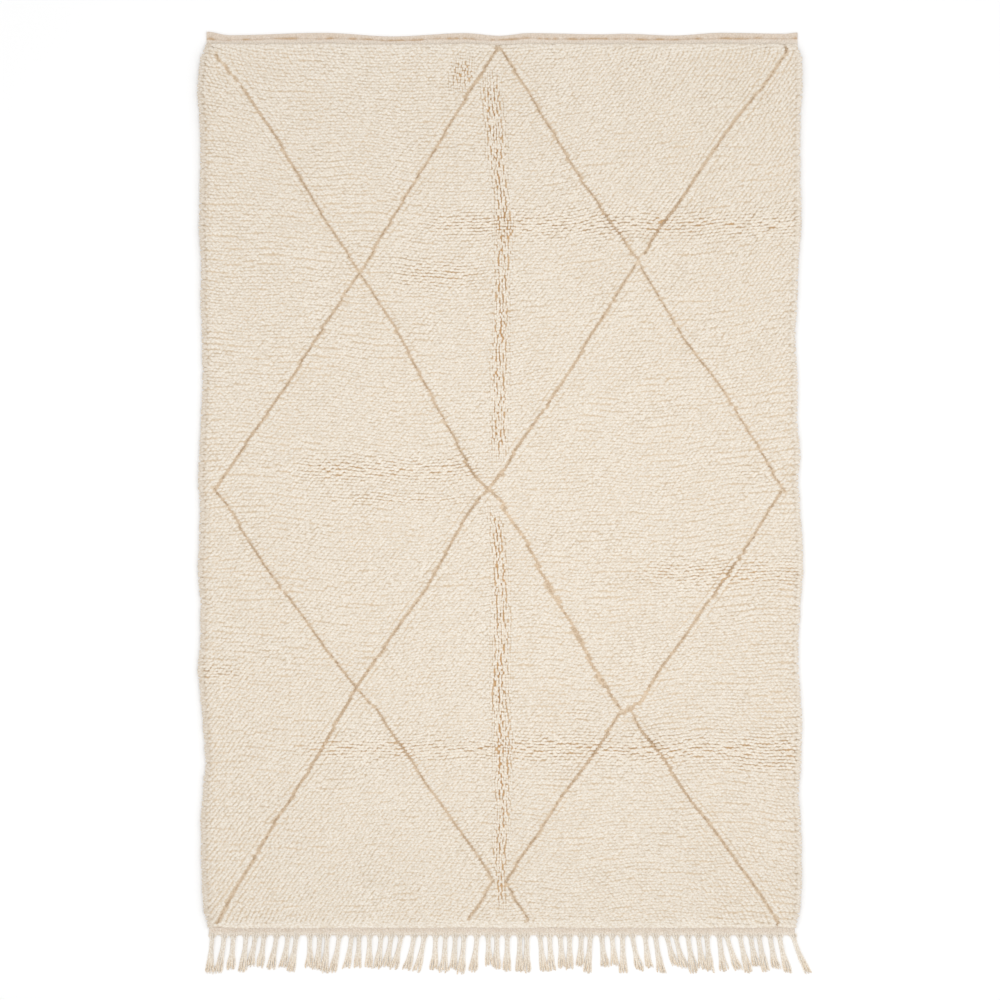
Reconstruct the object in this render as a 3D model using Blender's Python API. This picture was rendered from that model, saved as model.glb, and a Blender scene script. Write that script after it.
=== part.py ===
"""A Beni Ourain rug: a hand-knotted wool pile with a flat-woven heading at one end and a
fringed foot at the other, lying flat on the floor.

The rug's length runs along Y with the head end at +Y, and the floor is Z = 0. Sizes are in
metres unless a name or a comment says millimetres.
"""

import random
from collections import namedtuple

import bmesh
import bpy
from mathutils import Vector, noise

MM = 0.001
SHARP_ANGLE = 0.9  # radians between two faces, past which their edge isn't smooth

# The pile field: knotted wool on its woven ground.
HALF_WIDTH = 1.000
PILE_LENGTH = 2.912
PILE_HEIGHT = 0.022
RIM_HEIGHT = 0.009  # where the pile rolls over the side and down to the floor
ROLL = 0.035  # how far in from an edge the pile reaches its full height
ROLL_RINGS = (0.007, 0.018)  # rings of points that round the roll
GRID_PITCH = 0.070
LUMP_HEIGHT = 0.0055
LUMP_SPACING = 0.130

# The locks of wool that stick out at the two sides.
LOCKS_A_CELL = 3
LOCK_LEAST = 0.0115  # a shorter stretch of the side has no lock
LOCK_LENGTH = 0.008
LOCK_VARIES = 0.003
LOCK_TAPER = 0.0022
LOCK_NARROWS = 0.65
LOCK_DROOP = 0.0012
FACES_SIDEWAYS = 0.7  # of a wall's normal along X, less than which it has no lock
LOCK_SEED = 7

# The heading, a flat-woven band with a corded edge, and the foot's flat-woven strip.
HEAD_LEFT = 0.969
HEAD_RIGHT = 0.983
FOOT_LEFT = 0.961
FOOT_RIGHT = 0.974
FOOT_STRIP = 0.028
STATION_PITCH = 0.070
SEAM_GAP = 0.0003

# The fringe: the warp ends, gathered in bunches of plied yarns.
BUNCHES = 56
FIRST_BUNCH = -0.946
LAST_BUNCH = 0.962
ROOT_VARIES = 0.004
LEAN_VARIES = 0.008
YARNS_A_BUNCH = 5
FRINGE_LENGTH = 0.116
LENGTH_VARIES = 0.007
YARN_VARIES = 0.003
NECK_SHARE = 0.50  # of the length, before the yarns fan out
NECK_LEAN = 0.40  # of the lean, reached by the end of the neck
NECK_HALF = 0.0064
FAN_HALF = 0.0116
FAN_GAP = 0.0012
YARN_AT_NECK = 0.0026
YARN_AT_TIP = 0.0045
YARN_THICK = 0.0040
YARN_TIP_THICK = 0.0030
ROOT_DEPTH = 0.008  # how deep a yarn runs into the strip
ROOT_LIFT = 0.0004
ROOT_THICK = 0.0030
SPREAD_PASSES = 60
FRINGE_SEED = 21

# How far each side strays from a straight edge, in millimetres, outwards being more than
# zero, at a distance down from the head end of the pile.
Side = namedtuple("Side", "down left right")
SIDES = [
    Side(0, -27, -16),
    Side(47, -8, 0),
    Side(140, 1, 1),
    Side(246, -5, -6),
    Side(312, -7, -6),
    Side(510, -6, -4),
    Side(609, -5, -4),
    Side(725, -11, -13),
    Side(841, -7, -17),
    Side(956, -13, -24),
    Side(1105, -15, -15),
    Side(1237, -10, -17),
    Side(1353, -4, -5),
    Side(1436, -1, -13),
    Side(1518, -7, -7),
    Side(1650, -3, 2),
    Side(1720, 1, 2),
    Side(1849, -8, -5),
    Side(1965, -8, -12),
    Side(2047, 0, -12),
    Side(2140, -7, -6),
    Side(2229, -16, 0),
    Side(2361, -24, -4),
    Side(2477, -16, -12),
    Side(2546, -9, -6),
    Side(2646, -10, -2),
    Side(2758, -13, -2),
    Side(2841, -18, -6),
    Side(2912, -33, -20),
]

# How far the heading's outer edge lies from the pile, in millimetres, across the rug.
Heading = namedtuple("Heading", "across reach")
HEADING = [
    Heading(-969, 46),
    Heading(-894, 34),
    Heading(-586, 42),
    Heading(-351, 30),
    Heading(-116, 41),
    Heading(0, 32),
    Heading(96, 41),
    Heading(344, 37),
    Heading(406, 39),
    Heading(575, 33),
    Heading(730, 42),
    Heading(939, 39),
    Heading(983, 43),
]

# The sections of the two flat-woven ends. out is the share of the band's width, counted
# from the pile, and up is the height in millimetres.
Section = namedtuple("Section", "out up")
HEAD_SECTION = [
    Section(0.00, 0.0),
    Section(0.00, 3.6),
    Section(0.30, 4.2),
    Section(0.46, 5.6),
    Section(0.54, 3.4),
    Section(0.64, 5.8),
    Section(0.84, 7.0),
    Section(0.96, 5.4),
    Section(1.00, 2.4),
    Section(0.96, 0.0),
]
FOOT_SECTION = [
    Section(0.00, 0.0),
    Section(0.00, 4.0),
    Section(0.28, 5.6),
    Section(0.50, 4.4),
    Section(0.70, 5.8),
    Section(0.96, 4.8),
    Section(1.00, 4.0),
    Section(1.00, 0.0),
]

# The folds that were pressed into the pile, where its tufts part. A fold runs along the
# rug's length or across it. at, first and last are in millimetres: at is how far across or
# down the fold lies, and first and last are where it begins and ends.
Crease = namedtuple("Crease", "runs at first last half_width depth")
CREASES = [
    Crease("along", -4, 90, 1390, 30, 8.0),
    Crease("along", -4, 1500, 2880, 30, 8.0),
    Crease("across", 593, -240, 0, 24, 3.5),
    Crease("across", 593, 0, 980, 24, 7.0),
    Crease("across", 1403, -660, -60, 24, 4.5),
    Crease("across", 2322, -660, 0, 24, 4.0),
    Crease("across", 2322, 0, 980, 24, 7.0),
]
CREASE_FADE = 60
CREASE_LINES = (-1, -0.5, 0, 0.5, 1)  # lines of points over a crease, in its half widths

# How far the bunches of the fringe lean to the right, in millimetres, across the rug.
Lean = namedtuple("Lean", "across lean")
LEANS = [
    Lean(-946, -12),
    Lean(-836, -13),
    Lean(-640, -8),
    Lean(-406, -16),
    Lean(-260, -18),
    Lean(-155, -14),
    Lean(-30, -2),
    Lean(83, 6),
    Lean(305, -4),
    Lean(430, 18),
    Lean(556, 17),
    Lean(665, 20),
    Lean(775, 34),
    Lean(873, 30),
    Lean(962, 38),
]

CREAM = (0.83, 0.76, 0.65)
WOVEN_BEIGE = (0.76, 0.67, 0.58)
YARN_BEIGE = (0.78, 0.68, 0.58)
PILE_ROUGHNESS = 0.95
YARN_ROUGHNESS = 0.9


def clear_scene():
    for thing in list(bpy.data.objects):
        bpy.data.objects.remove(thing)


def add_collection(name):
    collection = bpy.data.collections.new(name)
    bpy.context.scene.collection.children.link(collection)
    return collection


def add_object(name, bm, collection, parent):
    mesh = bpy.data.meshes.new(name)
    bmesh.ops.recalc_face_normals(bm, faces=bm.faces)
    if bm.calc_volume(signed=True) < 0:
        bmesh.ops.reverse_faces(bm, faces=bm.faces)
    bm.to_mesh(mesh)
    bm.free()
    thing = bpy.data.objects.new(name, mesh)
    thing.parent = parent
    collection.objects.link(thing)
    return thing


def wool(name, colour, roughness):
    material = bpy.data.materials.new(name)
    material.use_nodes = True
    shader = material.node_tree.nodes["Principled BSDF"]
    shader.inputs["Base Color"].default_value = (*colour, 1)
    shader.inputs["Roughness"].default_value = roughness
    shader.inputs["Metallic"].default_value = 0
    return material


def read_between(rows, at):
    """The columns after a table's first one, read at a place between two of its rows."""
    at = min(max(at, rows[0][0]), rows[-1][0])
    for before, after in zip(rows, rows[1:]):
        if at <= after[0]:
            share = (at - before[0]) / (after[0] - before[0])
            eased = share * share * (3 - 2 * share)
            return [a + (b - a) * eased for a, b in zip(before[1:], after[1:])]


def evenly(first, last, pitch):
    """Places from first to last, at most a pitch apart."""
    steps = max(1, round(abs(last - first) / pitch))
    return [first + (last - first) * step / steps for step in range(steps + 1)]


# Pile field


def crease_places(runs):
    """Where the grid needs lines of points so that the creases show, in metres."""
    places = set()
    for crease in CREASES:
        if crease.runs == runs:
            for line in CREASE_LINES:
                places.add((crease.at + line * crease.half_width) * MM)
    return sorted(places)


def grid_lines(first, last, runs):
    """Lines of points from edge to edge: the roll at each edge, the creases, and between
    them an even pitch."""
    marks = [first + ring for ring in (0, *ROLL_RINGS, ROLL)]
    marks += crease_places(runs)
    marks += [last - ring for ring in (ROLL, *reversed(ROLL_RINGS), 0)]
    lines = [marks[0]]
    for start, end in zip(marks, marks[1:]):
        lines += evenly(start, end, GRID_PITCH)[1:]
    return lines


def roll_height(inward):
    """The pile's height at a distance in from its edge, along a quarter round."""
    left = 1 - min(inward / ROLL, 1)
    return RIM_HEIGHT + (PILE_HEIGHT - RIM_HEIGHT) * (1 - left * left) ** 0.5


def crease_depth(across, down):
    """How deep the creases are at a point of the pile."""
    deepest = 0
    for crease in CREASES:
        along, away = (down, across) if crease.runs == "along" else (across, down)
        off = abs(away / MM - crease.at) / crease.half_width
        inside = min(along / MM - crease.first, crease.last - along / MM) / CREASE_FADE
        if off < 1 and inside > 0:
            depth = crease.depth * MM * (1 - off * off) ** 2 * min(inside, 1)
            deepest = max(deepest, depth)
    return deepest


def pile_point(across, down):
    """The point of the pile's top over a place on a straight-sided rug."""
    left, right = read_between(SIDES, down / MM)
    stray = (left if across < 0 else right) * MM
    x = across * (HALF_WIDTH + stray) / HALF_WIDTH
    inward = min(HALF_WIDTH - LOCK_LENGTH - abs(across), down, PILE_LENGTH - down)
    height = roll_height(max(inward, 0)) - crease_depth(across, down)
    if inward > 0:
        place = Vector((across, down, 0)) / LUMP_SPACING
        height += LUMP_HEIGHT * noise.noise(place) * min(inward / ROLL, 1)
    return Vector((x, PILE_LENGTH / 2 - down, height))


def side_edges(bm):
    """The open edges of the pile's top that run down its two sides."""
    found = []
    for edge in bm.edges:
        along = edge.verts[0].co - edge.verts[1].co
        if edge.is_boundary and abs(along.y) > abs(along.x):
            found.append(edge)
    return found


def side_point(point):
    """A point of the rim, put back on the wavy side that the table gives."""
    left, right = read_between(SIDES, (PILE_LENGTH / 2 - point.y) / MM)
    edge = HALF_WIDTH - LOCK_LENGTH
    x = edge + right * MM if point.x > 0 else -edge - left * MM
    return Vector((x, point.y, point.z))


def add_locks(bm, walls):
    """Draws the side walls out, each into a tapered lock of wool."""
    draw = random.Random(LOCK_SEED)
    bmesh.ops.inset_individual(bm, faces=walls, thickness=LOCK_TAPER, use_even_offset=True)
    for wall in walls:
        middle = wall.calc_center_median()
        length = LOCK_LENGTH - draw.uniform(0, LOCK_VARIES)
        droop = draw.uniform(0, LOCK_DROOP)
        for vert in wall.verts:
            vert.co.x += length if middle.x > 0 else -length
            vert.co.y = middle.y + (vert.co.y - middle.y) * LOCK_NARROWS
            vert.co.z -= droop


def make_pile_field(collection, parent):
    edge = HALF_WIDTH - LOCK_LENGTH
    columns = grid_lines(-edge, edge, "along")
    rows = grid_lines(0, PILE_LENGTH, "across")
    bm = bmesh.new()
    last_column, last_row = len(columns) - 1, len(rows) - 1
    bmesh.ops.create_grid(bm, x_segments=last_column, y_segments=last_row, size=1)
    for vert in bm.verts:
        column = round((vert.co.x + 1) / 2 * last_column)
        row = round((1 - vert.co.y) / 2 * last_row)
        vert.co = pile_point(columns[column], rows[row])
    long_edges = [e for e in side_edges(bm) if e.calc_length() > GRID_PITCH / 2]
    bmesh.ops.subdivide_edges(bm, edges=long_edges, cuts=LOCKS_A_CELL - 1)
    for edge in side_edges(bm):
        for vert in edge.verts:
            vert.co = side_point(vert.co)

    rim = [e for e in bm.edges if e.is_boundary]
    walls = bmesh.ops.extrude_edge_only(bm, edges=rim)["geom"]
    base = [item for item in walls if isinstance(item, bmesh.types.BMVert)]
    for vert in base:
        vert.co.z = 0
    bmesh.ops.holes_fill(bm, edges=[e for e in bm.edges if e.is_boundary], sides=0)
    bmesh.ops.recalc_face_normals(bm, faces=bm.faces)
    least_area = LOCK_LEAST * RIM_HEIGHT
    wall_faces = [item for item in walls if isinstance(item, bmesh.types.BMFace)]
    sideways = [face for face in wall_faces if abs(face.normal.x) > FACES_SIDEWAYS]
    add_locks(bm, [face for face in sideways if face.calc_area() > least_area])

    field = add_object("pile_field", bm, collection, parent)
    field.data.materials.append(wool("pile_wool", CREAM, PILE_ROUGHNESS))
    field.data.shade_smooth()
    field.data.set_sharp_from_angle(angle=SHARP_ANGLE)
    return field


# Flat-woven ends


def sweep_band(section, stations):
    """A closed band: the section's face, extruded from station to station. A station is how
    far across it lies and how wide the band is there."""
    bm = bmesh.new()
    face = None
    for across, width in stations:
        corners = [
            Vector((across, SEAM_GAP + out * (width - SEAM_GAP), up * MM))
            for out, up in section
        ]
        if face is None:
            face = bm.faces.new([bm.verts.new(corner) for corner in corners])
        else:
            face = extrude_to(bm, face, before, corners)
        before = corners
    bmesh.ops.holes_fill(bm, edges=bm.edges, sides=len(section))
    return bm


def extrude_to(bm, face, before, after):
    """Extrudes a face and moves each new corner from its old place to its new one."""
    cap = bmesh.ops.extrude_discrete_faces(bm, faces=[face])["faces"][0]
    for vert in cap.verts:
        nearest = min(range(len(before)), key=lambda n: (before[n] - vert.co).length)
        vert.co = after[nearest]
    return cap


def make_head_band(collection, parent):
    stations = [
        (across, read_between(HEADING, across / MM)[0] * MM)
        for across in evenly(-HEAD_LEFT, HEAD_RIGHT, STATION_PITCH)
    ]
    band = add_object("head_band", sweep_band(HEAD_SECTION, stations), collection, parent)
    band.location.y = PILE_LENGTH / 2
    band.data.materials.append(wool("head_weave", WOVEN_BEIGE, YARN_ROUGHNESS))
    band.data.shade_smooth()
    band.data.set_sharp_from_angle(angle=SHARP_ANGLE)
    return band


# Fringe


def spread_apart(places, least):
    """Moves neighbours apart until each pair is at least so far apart."""
    for _ in range(SPREAD_PASSES):
        for n in range(len(places) - 1):
            short = least - (places[n + 1] - places[n])
            if short > 0:
                places[n] -= short / 2
                places[n + 1] += short / 2
    return places


def bunch_places():
    """Where each bunch leaves the strip and where its end lies, across the rug."""
    draw = random.Random(FRINGE_SEED)
    roots = []
    ends = []
    for place in evenly(FIRST_BUNCH, LAST_BUNCH, (LAST_BUNCH - FIRST_BUNCH) / (BUNCHES - 1)):
        root = place + draw.uniform(-ROOT_VARIES, ROOT_VARIES)
        lean = read_between(LEANS, place / MM)[0] * MM
        roots.append(root)
        ends.append(root + lean + draw.uniform(-LEAN_VARIES, LEAN_VARIES))
    return roots, spread_apart(ends, 2 * FAN_HALF + YARN_AT_TIP + FAN_GAP)


def yarn_corners(across, out, width, low, high):
    """The four corners of a yarn's section, which stands square to the rug's length."""
    half = width / 2
    return [
        Vector((across - half, out, low)),
        Vector((across + half, out, low)),
        Vector((across + half, out, high)),
        Vector((across - half, out, high)),
    ]


def add_yarn(bm, root, end, spot, length):
    """One four-sided yarn, from inside the strip along the floor to its free end. spot is
    its place in the bunch, from -1 at the left to 1."""
    neck = root + (end - root) * NECK_LEAN
    knee = -FOOT_STRIP - FRINGE_LENGTH * NECK_SHARE
    fan_share = (length / FRINGE_LENGTH - NECK_SHARE) / (1 - NECK_SHARE)
    knee_across = neck + spot * NECK_HALF
    tip_across = knee_across + (end + spot * FAN_HALF - knee_across) * fan_share
    inside = yarn_corners(
        root + spot * NECK_HALF,
        ROOT_DEPTH - FOOT_STRIP,
        YARN_AT_NECK,
        ROOT_LIFT,
        ROOT_LIFT + ROOT_THICK,
    )
    bend = yarn_corners(knee_across, knee, YARN_AT_NECK, 0, YARN_THICK)
    tip = yarn_corners(tip_across, -FOOT_STRIP - length, YARN_AT_TIP, 0, YARN_TIP_THICK)
    face = bm.faces.new([bm.verts.new(corner) for corner in inside])
    face = extrude_to(bm, face, inside, bend)
    extrude_to(bm, face, bend, tip)


def make_yarns(helpers, parent):
    draw = random.Random(FRINGE_SEED + 1)
    bm = bmesh.new()
    for root, end in zip(*bunch_places()):
        length = FRINGE_LENGTH + draw.uniform(-LENGTH_VARIES, LENGTH_VARIES)
        for n in range(YARNS_A_BUNCH):
            spot = 2 * n / (YARNS_A_BUNCH - 1) - 1
            add_yarn(bm, root, end, spot, length + draw.uniform(-YARN_VARIES, YARN_VARIES))
    bmesh.ops.holes_fill(bm, edges=bm.edges, sides=4)
    yarns = add_object("fringe_yarns", bm, helpers, parent)
    yarns.hide_render = True
    yarns.display_type = "WIRE"
    return yarns


def make_foot_fringe(collection, helpers, parent):
    stations = [(x, FOOT_STRIP) for x in evenly(-FOOT_LEFT, FOOT_RIGHT, STATION_PITCH)]
    bm = sweep_band(FOOT_SECTION, stations)
    for vert in bm.verts:
        vert.co.y = -vert.co.y
    foot = add_object("foot_fringe", bm, collection, parent)
    foot.location.y = -PILE_LENGTH / 2
    foot.data.materials.append(wool("fringe_yarn", YARN_BEIGE, YARN_ROUGHNESS))

    yarns = make_yarns(helpers, parent)
    yarns.location.y = -PILE_LENGTH / 2
    join = foot.modifiers.new("join_yarns", "BOOLEAN")
    join.operation = "UNION"
    join.solver = "EXACT"
    join.object = yarns
    return foot


def centre_on_floor(parent, pieces):
    """Moves the rug so that the middle of its outline is over the origin."""
    bpy.context.view_layer.update()
    graph = bpy.context.evaluated_depsgraph_get()
    points = []
    for piece in pieces:
        mesh = piece.evaluated_get(graph).data
        points += [piece.matrix_world @ vert.co for vert in mesh.vertices]
    parent.location.x = -(min(p.x for p in points) + max(p.x for p in points)) / 2
    parent.location.y = -(min(p.y for p in points) + max(p.y for p in points)) / 2
    bpy.context.view_layer.update()


def build():
    clear_scene()
    rug = add_collection("beni_ourain_rug")
    helpers = add_collection("helpers")
    middle = bpy.data.objects.new("rug_middle", None)
    rug.objects.link(middle)
    pieces = [
        make_pile_field(rug, middle),
        make_head_band(rug, middle),
        make_foot_fringe(rug, helpers, middle),
    ]
    centre_on_floor(middle, pieces)


build()
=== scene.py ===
"""The look of a Beni Ourain rug that lies on a pale floor.

Cream wool is knotted into a woven ground, with a lattice of thin brown lozenges, a
flat-woven heading at one end and a fringe of plied warps at the other. The sections follow
the making of the rug. Lengths are in metres: x runs across the rug, y along it with the
head at +y, and the floor is z = 0.
"""

import math
import random
from collections import namedtuple

import bmesh
import bpy
import numpy as np
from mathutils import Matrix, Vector, noise


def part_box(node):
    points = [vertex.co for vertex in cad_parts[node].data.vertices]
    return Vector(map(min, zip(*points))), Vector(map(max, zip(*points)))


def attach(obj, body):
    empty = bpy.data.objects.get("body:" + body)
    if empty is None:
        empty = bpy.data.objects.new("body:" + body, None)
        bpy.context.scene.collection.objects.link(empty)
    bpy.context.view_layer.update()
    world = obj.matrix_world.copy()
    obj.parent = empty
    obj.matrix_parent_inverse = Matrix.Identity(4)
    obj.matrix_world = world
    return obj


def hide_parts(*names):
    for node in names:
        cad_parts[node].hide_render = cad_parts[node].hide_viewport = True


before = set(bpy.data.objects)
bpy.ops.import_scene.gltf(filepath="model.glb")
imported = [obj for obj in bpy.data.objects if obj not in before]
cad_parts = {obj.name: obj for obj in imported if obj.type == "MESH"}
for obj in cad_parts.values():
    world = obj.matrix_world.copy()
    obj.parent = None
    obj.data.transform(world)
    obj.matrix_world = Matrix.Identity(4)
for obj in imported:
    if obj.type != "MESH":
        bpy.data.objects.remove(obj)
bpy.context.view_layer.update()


# Where the rug lies
# ------------------
# The solids carry the rug's place. As on the loom, a spot is named by how far across it
# lies from the rug's centre line and how far down from the head edge of the pile.

MM = 0.001
HEAD_LEFT = 0.969  # from the centre line to the left end of the heading
CENTRE_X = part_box("head_band")[0].x + HEAD_LEFT
HEAD_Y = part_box("pile_field")[1].y
FOOT_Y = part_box("pile_field")[0].y
PILE_LENGTH = HEAD_Y - FOOT_Y


# Woven ground
# ------------
# The cloth that carries the knots, wool wefts beaten down over wool warps. It lies flat on
# the floor under the pile, and its underside shows the backs of the knots.

HALF_WIDTH = 1.000
GROUND_HALF = 0.984
GROUND_THICK = 0.003
GROUND_COLUMNS = 40
GROUND_ROWS = 58
KNOT_BACK = (7.5 * MM, 10 * MM)  # the size of one on the underside, with its gap
BACKS_APART = 1.0 * MM
SHEEN_SPREAD = 0.5
WOOL_SHINE = 0.15


def as_table(columns, *rows):
    """A table whose rows are read by the names of its columns."""
    row = namedtuple("Row", columns)
    return [row(*values) for values in rows]


# How far each side strays outwards from a straight edge, in millimetres, at a distance
# down from the head edge.
SIDES = as_table(
    "down left right",
    (0, -27, -16), (47, -8, 0), (140, 1, 1), (246, -5, -6), (312, -7, -6), (510, -6, -4),
    (609, -5, -4), (725, -11, -13), (841, -7, -17), (956, -13, -24), (1105, -15, -15),
    (1237, -10, -17), (1353, -4, -5), (1436, -1, -13), (1518, -7, -7), (1650, -3, 2),
    (1720, 1, 2), (1849, -8, -5), (1965, -8, -12), (2047, 0, -12), (2140, -7, -6),
    (2229, -16, 0), (2361, -24, -4), (2477, -16, -12), (2546, -9, -6), (2646, -10, -2),
    (2758, -13, -2), (2841, -18, -6), (2912, -33, -20),
)


def ease(share):
    """A soft start and end for a share from 0 to 1."""
    share = np.clip(share, 0, 1)
    return share * share * (3 - 2 * share)


def read_between(rows, column, at):
    """One column of a table in millimetres, read at places between its rows, in metres. The
    table's first column is the place."""
    places = np.array([row[0] for row in rows]) * MM
    values = np.array([getattr(row, column) for row in rows]) * MM
    at = np.clip(at, places[0], places[-1])
    before = np.clip(np.searchsorted(places, at) - 1, 0, len(places) - 2)
    share = (at - places[before]) / (places[before + 1] - places[before])
    return values[before] + (values[before + 1] - values[before]) * ease(share)


def rug_x(across, down):
    """The x of a spot, with the stray of the side that it is nearest."""
    left, right = read_between(SIDES, "left", down), read_between(SIDES, "right", down)
    stray = np.where(across < 0, left, right)
    return CENTRE_X + across * (1 + stray / HALF_WIDTH)


def seen_colour(red, green, blue):
    """A colour as the eye reads it, from 0 to 255, turned into the light that gives it."""
    shares = [value / 255 for value in (red, green, blue)]
    light = [s / 12.92 if s <= 0.04045 else ((s + 0.055) / 1.055) ** 2.4 for s in shares]
    return (*light, 1)


def set_inputs(node, values):
    for name, value in values.items():
        node.inputs[name].default_value = value


def add_wool(name, roughness, sheen):
    """A matt wool with a soft sheen, and its shader and node tree to build on."""
    material = bpy.data.materials.new(name)
    material.use_nodes = True
    tree = material.node_tree
    shader = tree.nodes["Principled BSDF"]
    set_inputs(shader, {"Roughness": roughness, "Specular IOR Level": WOOL_SHINE})
    set_inputs(shader, {"Sheen Weight": sheen, "Sheen Roughness": SHEEN_SPREAD})
    return material, shader, tree


def add_bump(tree, shader, height, strength, distance):
    bump = tree.nodes.new("ShaderNodeBump")
    set_inputs(bump, {"Strength": strength, "Distance": distance})
    tree.links.new(height, bump.inputs["Height"])
    tree.links.new(bump.outputs["Normal"], shader.inputs["Normal"])


def ground_wool():
    """The backs of the knots, two for each tuft, in rows like small bricks."""
    material, shader, tree = add_wool("ground_weave", roughness=0.95, sheen=0.1)
    backs = tree.nodes.new("ShaderNodeTexBrick")
    set_inputs(backs, {"Scale": 1, "Brick Width": KNOT_BACK[0], "Row Height": KNOT_BACK[1]})
    set_inputs(backs, {"Mortar Size": BACKS_APART, "Mortar Smooth": 1})
    set_inputs(backs, {"Color1": seen_colour(224, 206, 180)})
    set_inputs(backs, {"Color2": seen_colour(232, 216, 192)})
    set_inputs(backs, {"Mortar": seen_colour(180, 148, 110)})
    place = tree.nodes.new("ShaderNodeTexCoord")
    tree.links.new(place.outputs["Object"], backs.inputs["Vector"])
    tree.links.new(backs.outputs["Color"], shader.inputs["Base Color"])
    invert = tree.nodes.new("ShaderNodeInvert")
    tree.links.new(backs.outputs["Fac"], invert.inputs["Color"])
    add_bump(tree, shader, invert.outputs["Color"], strength=0.7, distance=0.8 * MM)
    return material


def put_in_scene(name, data, spot=(0, 0, 0)):
    thing = bpy.data.objects.new(name, data)
    thing.location = spot
    bpy.context.scene.collection.objects.link(thing)
    return thing


def add_piece(name, mesh, material, stands_for):
    """Puts a piece in the scene and says what it rides on and which solid it replaces."""
    mesh.materials.append(material)
    piece = put_in_scene(name, mesh)
    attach(piece, "root")
    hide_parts(stands_for)
    return piece


def mesh_from(bm, name):
    mesh = bpy.data.meshes.new(name)
    bm.to_mesh(mesh)
    bm.free()
    return mesh


def weave_ground():
    bm = bmesh.new()
    bmesh.ops.create_grid(bm, x_segments=GROUND_COLUMNS, y_segments=GROUND_ROWS, size=1)
    for vert in bm.verts:
        down = (1 - vert.co.y) / 2 * PILE_LENGTH
        x = float(rug_x(vert.co.x * GROUND_HALF, down))
        vert.co = (x, HEAD_Y - down, 0)
    raised = bmesh.ops.extrude_face_region(bm, geom=bm.faces[:])["geom"]
    top = [item for item in raised if isinstance(item, bmesh.types.BMVert)]
    bmesh.ops.translate(bm, verts=top, vec=(0, 0, GROUND_THICK))
    bmesh.ops.recalc_face_normals(bm, faces=bm.faces)
    return mesh_from(bm, "woven_ground")


ground = add_piece("woven_ground", weave_ground(), ground_wool(), "pile_field")


# Knots in rows
# -------------
# Each tuft of the pile is a knot of thick wool on two warps. The knots lie in rows across the
# rug, each row half a knot aside from the last. The rows were beaten down by hand, so they
# wave a little, and near the head they climb to both sides.

KNOT_PITCH = 15 * MM
ROW_PITCH = 10 * MM
KNOTTED_HALF = 0.985
KNOT_STRAYS = 0.7 * MM
ROW_END = 2 * MM  # from the head and foot to the nearest knots
ROWS_OUT = 4  # that run past the head and the foot, where they are ended
PILE_SEED = 11

# How far the rows climb across the rug at its head and at its foot, in millimetres.
ROW_CLIMB = as_table(
    "across at_head at_foot",
    (-985, 62, 0), (-600, 16, 8), (-300, 1, 2), (200, 11, -4), (600, 47, -4), (985, 101, -18),
)
ROW_WAVES = as_table(
    "height length slant start",
    (8 * MM, 880 * MM, 0.30, 0.6), (4 * MM, 390 * MM, -0.40, 2.4),
    (1.2 * MM, 150 * MM, 0.50, 4.1),
)


def row_rise(across, straight):
    """How far a row has climbed towards the head, at a distance across the rug."""
    places, at_head, at_foot = np.array(ROW_CLIMB).T * MM
    at_head, at_foot = (np.interp(across, places, rises) for rises in (at_head, at_foot))
    rise = at_head + (at_foot - at_head) * straight / PILE_LENGTH
    for wave in ROW_WAVES:
        turn = 2 * math.pi * (across + wave.slant * straight) / wave.length + wave.start
        rise = rise - wave.height * np.sin(turn)
    return rise


row_count = round(PILE_LENGTH / ROW_PITCH)
knot_count = round(2 * KNOTTED_HALF / KNOT_PITCH)
draw = np.random.default_rng(PILE_SEED)
row, knot = np.meshgrid(np.arange(row_count + 2 * ROWS_OUT), np.arange(-1, knot_count + 1))
row, knot = row.ravel(), knot.ravel()
across = (knot + 0.25 + 0.5 * (row % 2)) * 2 * KNOTTED_HALF / knot_count - KNOTTED_HALF
kept = np.abs(across) < KNOTTED_HALF + KNOT_PITCH / 2
row, across = row[kept], across[kept]
at_side = np.abs(across) > KNOTTED_HALF - KNOT_PITCH / 3
across = np.where(at_side, np.sign(across) * KNOTTED_HALF, across)
straight = (row - ROWS_OUT + 0.5) * PILE_LENGTH / row_count
down = straight - row_rise(across, straight)
before = row_rise(across - KNOT_PITCH / 2, straight)
after = row_rise(across + KNOT_PITCH / 2, straight)
row_turn = np.arctan((after - before) / KNOT_PITCH)
knotted = (down > -ROW_END) & (down < PILE_LENGTH + ROW_END)
row, across, down, row_turn = row[knotted], across[knotted], down[knotted], row_turn[knotted]
end_knots = np.linspace(-KNOTTED_HALF, KNOTTED_HALF, knot_count)
for end_row, place in ((row.max() + 1, ROW_END), (row.max() + 2, PILE_LENGTH - ROW_END)):
    row = np.append(row, np.full(knot_count, end_row))
    across = np.append(across, end_knots)
    down = np.append(down, np.full(knot_count, place))
    row_turn = np.append(row_turn, np.zeros(knot_count))
across += draw.normal(0, KNOT_STRAYS, len(row))
down += draw.normal(0, KNOT_STRAYS, len(row))
across = np.clip(across, -KNOTTED_HALF, KNOTTED_HALF)
down = np.clip(down, ROW_END, PILE_LENGTH - ROW_END)


# Partings of the pile
# --------------------
# Where the rug was folded, and here and there between two rows, the tufts lean apart in
# short wavy dashes and show the wool deep in the pile, darker and warmer: mostly painted
# shade, partly the wool's own warmer colour.

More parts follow.
